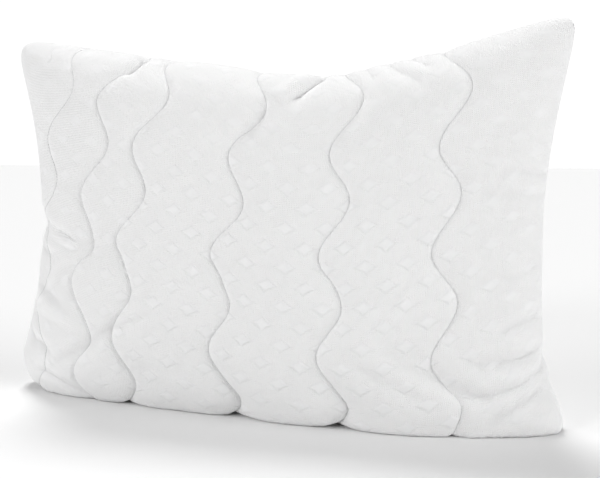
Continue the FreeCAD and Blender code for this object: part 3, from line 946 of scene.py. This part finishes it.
def knit_material():
    """Jacquard double knit: smooth raised diamonds on a dotted ground, with painted shade darkening each
    diamond's rim.
    """
    m = Nodes("jacquard_knit")
    m.shader.inputs["Roughness"].default_value = 0.82
    m.shader.inputs["Sheen Weight"].default_value = 0.20
    m.shader.inputs["Sheen Roughness"].default_value = 0.5
    uv, s, t = flat_axes(m)
    reach = m.math("MINIMUM", lattice(m, s, t, 0.0), lattice(m, s, t, 0.5))
    ground = clamp_step(m, reach, 0.80, 1.12)
    # Ring round each diamond's rim. Weighted by the slack, it sets a dip in the relief and painted shade
    # in the base colour.
    edge = m.math("MULTIPLY", clamp_step(m, reach, 0.84, 1.04),
                  clamp_step(m, reach, 1.04, 1.30, 1.0, 0.0))
    rim_dip_and_painted_shade = m.math("MULTIPLY", edge, slack_nodes(m, s, t))
    up, down = m.math("ADD", s, t), m.math("SUBTRACT", s, t)
    crossed = m.math("MULTIPLY", waves(m, up, DOT_PITCH), waves(m, down, DOT_PITCH))
    dots = clamp_step(m, crossed, -0.1, 0.8)
    uneven = m.math("ADD", 0.65, m.math("MULTIPLY", 0.7, noise(m, uv, 260.0)))
    dotted = m.math("MULTIPLY", m.math("MULTIPLY", dots, ground), uneven)
    loops = m.math("MULTIPLY", waves(m, s, LOOP_S), waves(m, t, LOOP_T))
    fine = bump(m, loops, 0.00008, 0.8)
    pique = bump(m, dotted, 0.00032, 0.9, fine)
    raised = m.math("MULTIPLY", m.math("SUBTRACT", 1.0, ground), slack_nodes(m, s, t))
    bordered = m.math("SUBTRACT", raised, m.math("MULTIPLY", rim_dip_and_painted_shade, 0.20))
    diamond = bump(m, bordered, 0.00044, 0.8, pique)
    crinkle = bump(m, noise(m, uv, 55.0, 3.0), 0.0010, 0.35, diamond)
    m.link(crinkle, m.shader.inputs["Normal"])
    lighter = m.math("ADD", 0.44, m.math("MULTIPLY", ground, 0.34))
    shade = m.math("ADD", m.math("MULTIPLY", dotted, 0.22), lighter)
    # Painted shade: the diamonds' rims are darkened in the base colour, standing in for the shade where
    # their edges slope away from the light.
    shade = m.math("SUBTRACT", shade, m.math("MULTIPLY", rim_dip_and_painted_shade, 0.30))
    tint(m, m.math("ADD", shade, m.math("MULTIPLY", noise(m, uv, 9.0), 0.15)),
         (0.80, 0.80, 0.805), (0.90, 0.90, 0.90))
    return m.material


def weave_material(name, colour, pitch, depth, roughness=0.85, sheen=0.0):
    """Plain woven cloth: threads over and under."""
    m = Nodes(name)
    m.shader.inputs["Roughness"].default_value = roughness
    m.shader.inputs["Sheen Weight"].default_value = sheen
    uv, s, t = flat_axes(m)
    cross = m.math("MULTIPLY", waves(m, s, pitch), waves(m, t, pitch))
    rough = m.math("ADD", cross, noise(m, uv, 0.35 / pitch))
    m.link(bump(m, rough, depth), m.shader.inputs["Normal"])
    dark = tuple(0.93 * c for c in colour)
    tint(m, m.math("ADD", m.math("MULTIPLY", cross, 0.25), noise(m, uv, 14.0)), dark, colour)
    return m.material


def fluffy_material(name, colour, size):
    """Loose fibres: wadding and fill."""
    m = Nodes(name)
    m.shader.inputs["Roughness"].default_value = 0.95
    m.shader.inputs["Sheen Weight"].default_value = 0.3
    place = m.add("ShaderNodeTexCoord").outputs["Object"]
    hair = noise(m, place, 1.0 / size, 8.0)
    m.link(bump(m, hair, 0.4 * size), m.shader.inputs["Normal"])
    tint(m, hair, tuple(0.9 * c for c in colour), colour)
    return m.material


def thread_material():
    """Twisted sewing thread."""
    m = Nodes("sewing_thread")
    m.shader.inputs["Roughness"].default_value = 0.55
    _, s, t = flat_axes(m)
    twist = waves(m, m.math("ADD", s, m.math("MULTIPLY", t, 0.5)), TWIST_PITCH)
    m.link(bump(m, twist, 0.00006), m.shader.inputs["Normal"])
    tint(m, m.math("ADD", m.math("MULTIPLY", twist, 0.3), 0.6), (0.70, 0.70, 0.71), (0.82, 0.82, 0.82))
    return m.material


def tape_material():
    """Herringbone zip tape."""
    m = Nodes("zip_tape")
    m.shader.inputs["Roughness"].default_value = 0.8
    _, s, t = flat_axes(m)
    across = m.math("FRACT", m.math("MULTIPLY", t, 1 / HERRINGBONE))
    zigzag = m.math("ABSOLUTE", m.math("SUBTRACT", across, 0.5))
    ribs = waves(m, m.math("ADD", s, m.math("MULTIPLY", zigzag, HERRINGBONE)), TAPE_RIB)
    m.link(bump(m, ribs, 0.00012), m.shader.inputs["Normal"])
    tint(m, m.math("ADD", m.math("MULTIPLY", ribs, 0.3), 0.5), (0.74, 0.74, 0.75), (0.85, 0.85, 0.85))
    return m.material


def coil_material():
    """Nylon wire, faintly worn."""
    m = Nodes("zip_coil")
    m.shader.inputs["Roughness"].default_value = 0.32
    m.shader.inputs["Subsurface Weight"].default_value = 0.15
    uv, _, _ = flat_axes(m)
    worn = noise(m, uv, 900.0)
    m.link(bump(m, worn, 0.00002), m.shader.inputs["Normal"])
    tint(m, worn, (0.80, 0.80, 0.80), (0.88, 0.88, 0.88))
    return m.material


def metal_material():
    """Nickel-plated zip metal, faintly brushed and rubbed."""
    m = Nodes("zip_metal")
    m.shader.inputs["Metallic"].default_value = 1.0
    place = m.add("ShaderNodeTexCoord").outputs["Object"]
    stretch = m.add("ShaderNodeMapping")
    stretch.inputs["Scale"].default_value = (150.0, 2500.0, 2500.0)
    m.link(place, stretch.inputs["Vector"])
    brushed = noise(m, stretch.outputs[0], 1.0, 4.0)
    m.link(bump(m, brushed, 0.00003, 0.6), m.shader.inputs["Normal"])
    m.link(clamp_step(m, brushed, 0.2, 0.8, 0.24, 0.44), m.shader.inputs["Roughness"])
    tint(m, noise(m, place, 400.0), (0.62, 0.62, 0.63), (0.80, 0.80, 0.80))
    return m.material


def satin_material():
    """Satin label: close ribs across the strip and a raised edge, no print."""
    m = Nodes("label_satin")
    m.shader.inputs["Roughness"].default_value = 0.38
    m.shader.inputs["Sheen Weight"].default_value = 0.15
    _, s, t = flat_axes(m)
    ribs = waves(m, s, SATIN_RIB)
    off_middle = m.math("ABSOLUTE", m.math("SUBTRACT", t, LABEL_WIDE / 2))
    selvedge = m.math("GREATER_THAN", off_middle, LABEL_WIDE / 2 - SATIN_EDGE)
    m.link(bump(m, m.math("ADD", ribs, selvedge), 0.00006), m.shader.inputs["Normal"])
    tint(m, m.math("ADD", m.math("MULTIPLY", ribs, 0.2), 0.6), (0.82, 0.82, 0.81), (0.90, 0.90, 0.89))
    return m.material


MATERIALS = {
    "jacquard_knit": knit_material(),
    "wadding": fluffy_material("wadding", (0.92, 0.92, 0.91), 0.0030),
    "lining_cloth": weave_material("lining_cloth", (0.88, 0.88, 0.88), 0.0009, 0.00008),
    "case_cloth": weave_material("case_cloth", (0.87, 0.87, 0.86), 0.0007, 0.00006),
    "fibre": fluffy_material("fibre", (0.92, 0.92, 0.91), 0.0060),
    "sewing_thread": thread_material(),
    "zip_tape": tape_material(),
    "zip_coil": coil_material(),
    "zip_metal": metal_material(),
    "label_satin": satin_material(),
}
# The CAD's own pieces take their slot from the record, the others from what rides() gave them.
node_slots = {part["node"]: part["material_slot"] for part in frame["record"]["subparts"]}
for name, node in frame["nodes"].items():
    node.data.materials.clear()
    node.data.materials.append(MATERIALS[node_slots[name]])
for obj in list(bpy.data.objects):
    if obj.type == "MESH" and "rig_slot" in obj:
        obj.data.materials.append(MATERIALS[obj["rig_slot"]])

# ---------------------------------------- floor, light and camera

floor = ground_plate("floor", 12)
pale = Nodes("pale_floor")
pale.shader.inputs["Base Color"].default_value = (0.82, 0.82, 0.82, 1.0)
pale.shader.inputs["Roughness"].default_value = 0.95
pale.shader.inputs["Specular IOR Level"].default_value = 0.1
floor.data.materials.append(pale.material)


def studio_world(ambient, seen):
    """Soft light from a white room: ambient below and overhead. The camera sees it at seen."""
    world = bpy.data.worlds.new("studio")
    world.use_nodes = True
    tree = world.node_tree
    background = tree.nodes["Background"]
    background.inputs["Color"].default_value = (1.0, 1.0, 1.0, 1.0)
    place = tree.nodes.new("ShaderNodeTexCoord")
    split = tree.nodes.new("ShaderNodeSeparateXYZ")
    height = tree.nodes.new("ShaderNodeMapRange")
    height.inputs["From Min"].default_value = -0.1
    height.inputs["From Max"].default_value = 1.0
    height.inputs["To Min"].default_value = ambient[0]
    height.inputs["To Max"].default_value = ambient[1]
    path = tree.nodes.new("ShaderNodeLightPath")
    pick = tree.nodes.new("ShaderNodeMix")
    pick.inputs["B"].default_value = seen
    tree.links.new(place.outputs["Generated"], split.inputs[0])
    tree.links.new(split.outputs[2], height.inputs["Value"])
    tree.links.new(path.outputs["Is Camera Ray"], pick.inputs["Factor"])
    tree.links.new(height.outputs["Result"], pick.inputs["A"])
    tree.links.new(pick.outputs["Result"], background.inputs["Strength"])
    bpy.context.scene.world = world


def soft_sun(name, towards, share, angle):
    """A broad distant light. share is how much it adds to a white surface that faces it."""
    data = bpy.data.lights.new(name, "SUN")
    data.energy = share * math.pi
    data.angle = math.radians(angle)
    light = bpy.data.objects.new(name, data)
    light.rotation_euler = Vector(towards).to_track_quat("-Z", "Y").to_euler()
    bpy.context.scene.collection.objects.link(light)


studio_world((0.11, 0.29), 1.05)
soft_sun("left_light", (1.0, 0.50, -0.45), 0.28, 25.0)
soft_sun("right_light", (-1.0, 0.20, -0.40), 0.57, 40.0)
soft_sun("front_light", (0.65, 1.0, -0.45), 0.26, 15.0)
soft_sun("top_light", (0.25, -0.43, -1.0), 0.60, 20.0)
bpy.context.scene.view_settings.view_transform = "Standard"

# The camera stands to the right of the front and looks slightly down.
YAW = math.radians(17.3)
DISTANCE, EYE_HEIGHT, AIM_HEIGHT, AIM_X = 0.877, 0.253, 0.166, 0.031
camera_data = bpy.data.cameras.new("camera")
camera_data.sensor_width = 36.0
camera_data.lens = 54.0
camera = bpy.data.objects.new("camera", camera_data)
camera.location = (AIM_X + DISTANCE * math.sin(YAW), -DISTANCE * math.cos(YAW), EYE_HEIGHT)
aim = Vector((AIM_X, 0.0, AIM_HEIGHT))
camera.rotation_euler = (aim - Vector(camera.location)).to_track_quat("-Z", "Y").to_euler()
bpy.context.scene.collection.objects.link(camera)
bpy.context.scene.camera = camera
